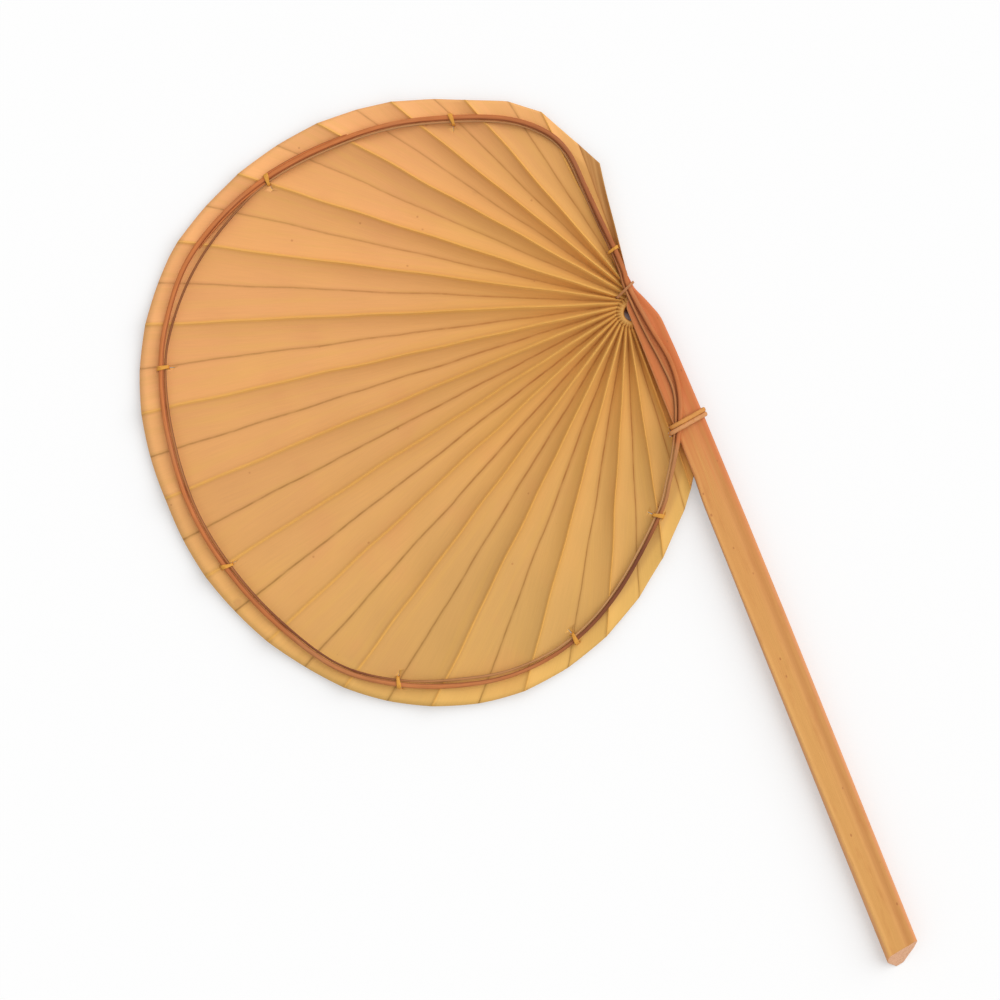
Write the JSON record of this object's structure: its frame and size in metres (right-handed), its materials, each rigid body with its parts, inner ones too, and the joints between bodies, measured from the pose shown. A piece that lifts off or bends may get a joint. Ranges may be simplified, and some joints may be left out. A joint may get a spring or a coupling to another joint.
{
  "type": "palm leaf hand fan",
  "caption": "Hand fan of a pleated palm leaf, trimmed round beside its own stalk handle and held flat between cane hoops by small ties and a lashing on the handle.",
  "frame": {"origin": "on the flat back of the grip, on the middle line of its width and about half way along it", "axes": "+Y along the handle from the butt to the leaf, +Z out of the fan's front face, +X to the right seen from the front, so the leaf lies towards -X"},
  "size_m": [0.2938, 0.548, 0.0139],
  "materials": {
    "stalk": "satin",
    "leaf": "satin",
    "collar": "satin",
    "outer_cane": "satin",
    "inner_cane": "satin",
    "tie": "satin"
  },
  "bodies": {
    "root": {"stalk_handle": "stalk", "palm_leaf": "leaf", "leaf_collar": "collar", "front_outer_cane": "outer_cane", "front_inner_cane": "inner_cane", "back_outer_cane": "outer_cane", "back_inner_cane": "inner_cane", "rim_tie_top": "tie", "rim_tie_upper_left": "tie", "rim_tie_left": "tie", "rim_tie_lower_left": "tie", "rim_tie_bottom": "tie", "rim_tie_lower_right": "tie", "rim_tie_right": "tie", "flap_tie": "tie", "crown_tie": "tie", "handle_lashing": "tie"}
  },
  "joints": []
}
